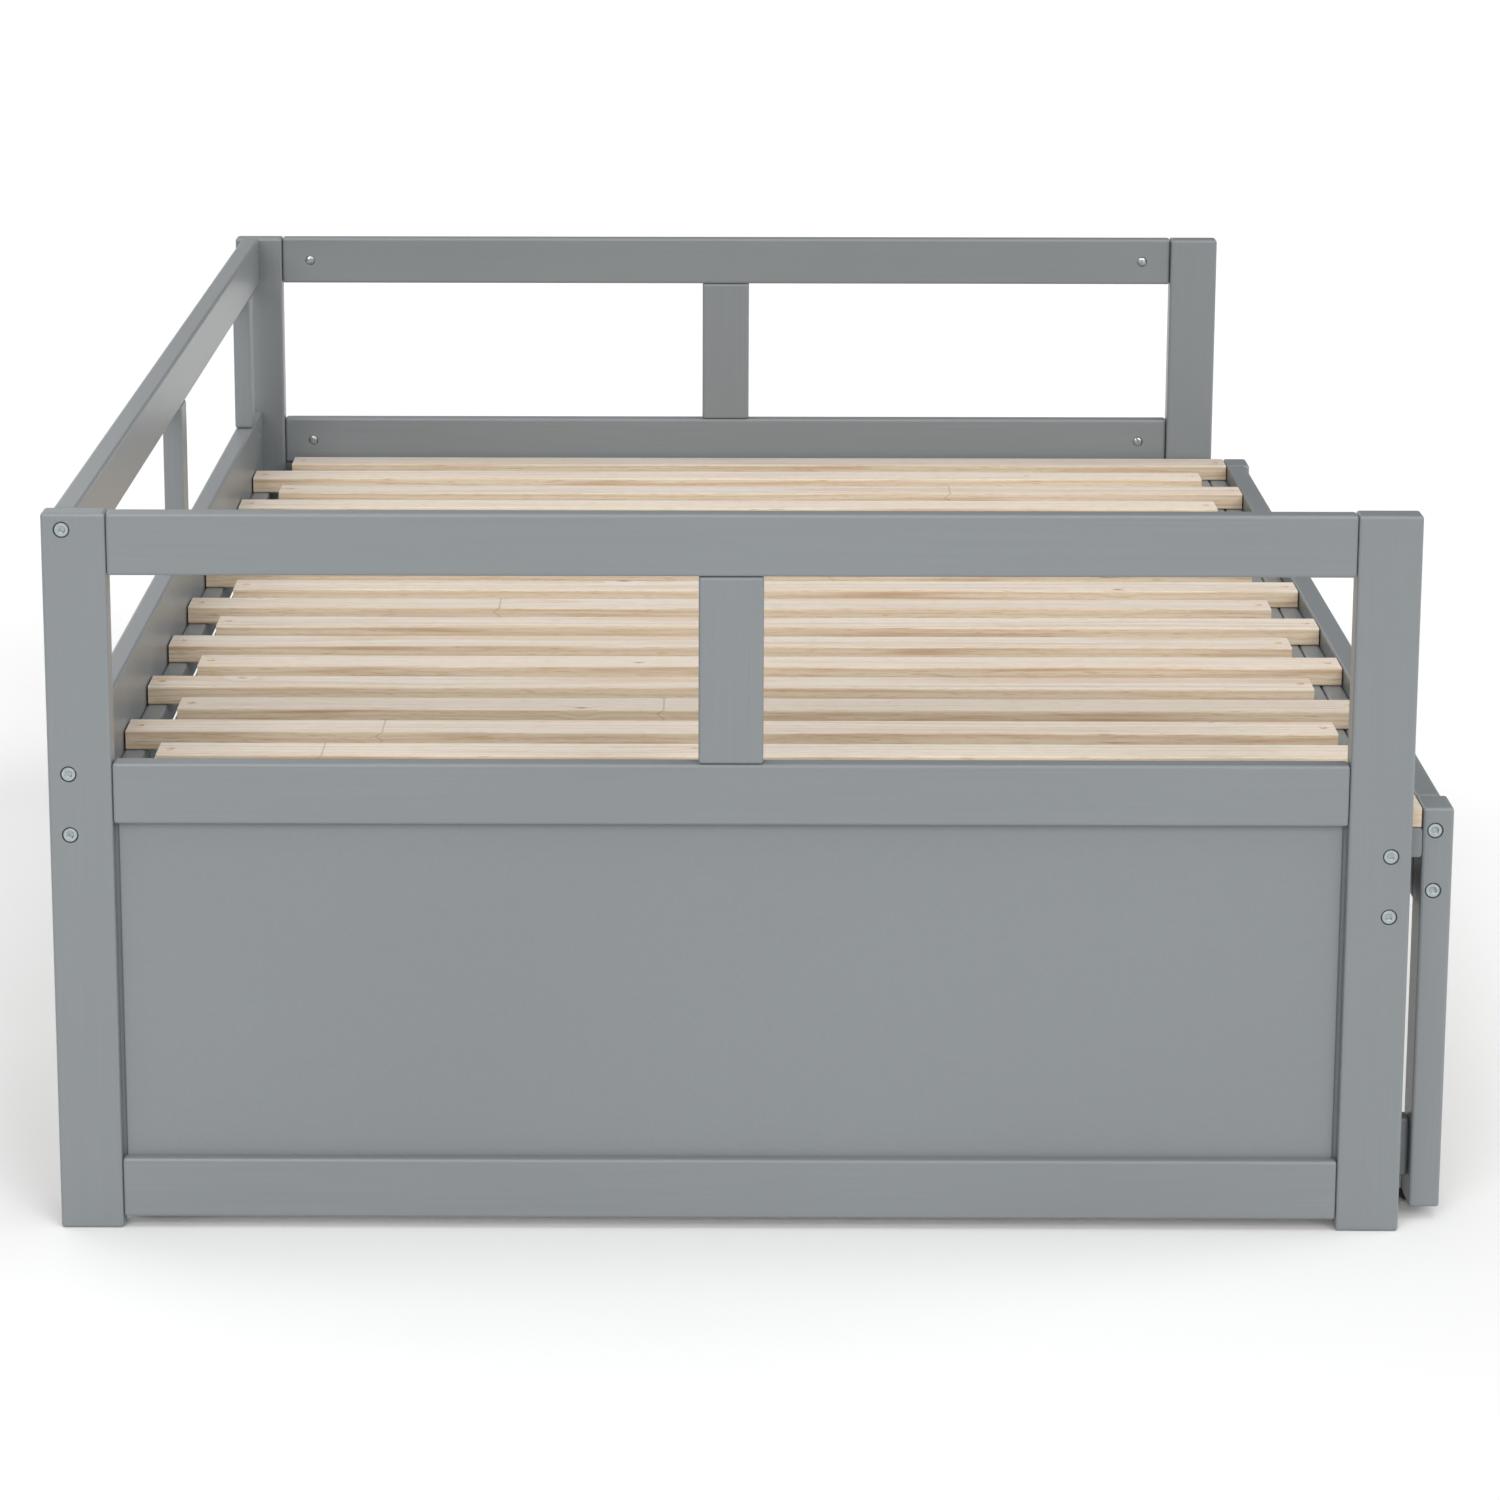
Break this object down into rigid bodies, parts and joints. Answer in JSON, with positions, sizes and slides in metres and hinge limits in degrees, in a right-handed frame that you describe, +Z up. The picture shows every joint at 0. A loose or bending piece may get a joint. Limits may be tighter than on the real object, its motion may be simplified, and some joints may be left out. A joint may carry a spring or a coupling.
{
  "type": "daybed with trundle",
  "caption": "Wooden daybed with panelled ends and a slatted deck. A second slatted frame on casters slides out of its front at the same height.",
  "frame": {"origin": "on the floor, under the middle of the closed bed's box", "axes": "+X is the front, the side that the trundle pulls out of; +Y runs along the bed to its right end, seen facing the front; +Z is up"},
  "size_m": [1.438, 2.02, 0.758],
  "materials": {
    "grey_paint": "satin grey paint on pine and board",
    "pine": "planed, bare",
    "zinc_steel": "zinc plated",
    "black_nylon": "moulded"
  },
  "bodies": {
    "daybed": {"left_end_back_post": "grey_paint", "left_end_front_post": "grey_paint", "left_end_top_rail": "grey_paint", "left_end_mid_rail": "grey_paint", "left_end_bottom_rail": "grey_paint", "left_end_stile": "grey_paint", "left_end_panel": "grey_paint", "right_end_back_post": "grey_paint", "right_end_front_post": "grey_paint", "right_end_top_rail": "grey_paint", "right_end_mid_rail": "grey_paint", "right_end_bottom_rail": "grey_paint", "right_end_stile": "grey_paint", "right_end_panel": "grey_paint", "back_top_rail": "grey_paint", "back_deck_rail": "grey_paint", "back_left_stile": "grey_paint", "back_middle_stile": "grey_paint", "back_right_stile": "grey_paint", "back_cleat": "grey_paint", "front_rail": "grey_paint", "front_cleat": "grey_paint", "fixed_slat_1": "pine", "fixed_slat_2": "pine", "fixed_slat_3": "pine", "fixed_slat_4": "pine", "fixed_slat_5": "pine", "fixed_slat_6": "pine", "fixed_slat_7": "pine", "fixed_slat_8": "pine", "fixed_slat_9": "pine"},
    "trundle": {"trundle_front_rail": "grey_paint", "trundle_back_rail": "grey_paint", "trundle_front_cleat": "grey_paint", "trundle_back_cleat": "grey_paint", "trundle_left_front_post": "grey_paint", "trundle_right_front_post": "grey_paint", "trundle_left_rear_leg": "grey_paint", "trundle_right_rear_leg": "grey_paint", "trundle_left_stretcher": "grey_paint", "trundle_right_stretcher": "grey_paint", "sliding_slat_1": "pine", "sliding_slat_2": "pine", "sliding_slat_3": "pine", "sliding_slat_4": "pine", "sliding_slat_5": "pine", "sliding_slat_6": "pine", "sliding_slat_7": "pine", "sliding_slat_8": "pine", "sliding_slat_9": "pine", "sliding_slat_10": "pine", "left_front_caster_bracket": "zinc_steel", "left_rear_caster_bracket": "zinc_steel", "right_front_caster_bracket": "zinc_steel", "right_rear_caster_bracket": "zinc_steel"},
    "left_front_caster_wheel": {"left_front_wheel": "black_nylon"},
    "left_rear_caster_wheel": {"left_rear_wheel": "black_nylon"},
    "right_front_caster_wheel": {"right_front_wheel": "black_nylon"},
    "right_rear_caster_wheel": {"right_rear_wheel": "black_nylon"}
  },
  "joints": [
    {"name": "trundle_slide", "type": "slide", "parent": "daybed", "child": "trundle", "axis": [1, 0, 0], "range_m": [0, 1.205]},
    {"name": "left_front_wheel_spin", "type": "hinge", "parent": "trundle", "child": "left_front_caster_wheel", "pos_m": [0.699, -0.9066, 0.02], "axis": [0, 1, 0], "continuous": true},
    {"name": "left_rear_wheel_spin", "type": "hinge", "parent": "trundle", "child": "left_rear_caster_wheel", "pos_m": [-0.6355, -0.9066, 0.02], "axis": [0, 1, 0], "continuous": true},
    {"name": "right_front_wheel_spin", "type": "hinge", "parent": "trundle", "child": "right_front_caster_wheel", "pos_m": [0.699, 0.9066, 0.02], "axis": [0, 1, 0], "continuous": true},
    {"name": "right_rear_wheel_spin", "type": "hinge", "parent": "trundle", "child": "right_rear_caster_wheel", "pos_m": [-0.6355, 0.9066, 0.02], "axis": [0, 1, 0], "continuous": true}
  ]
}
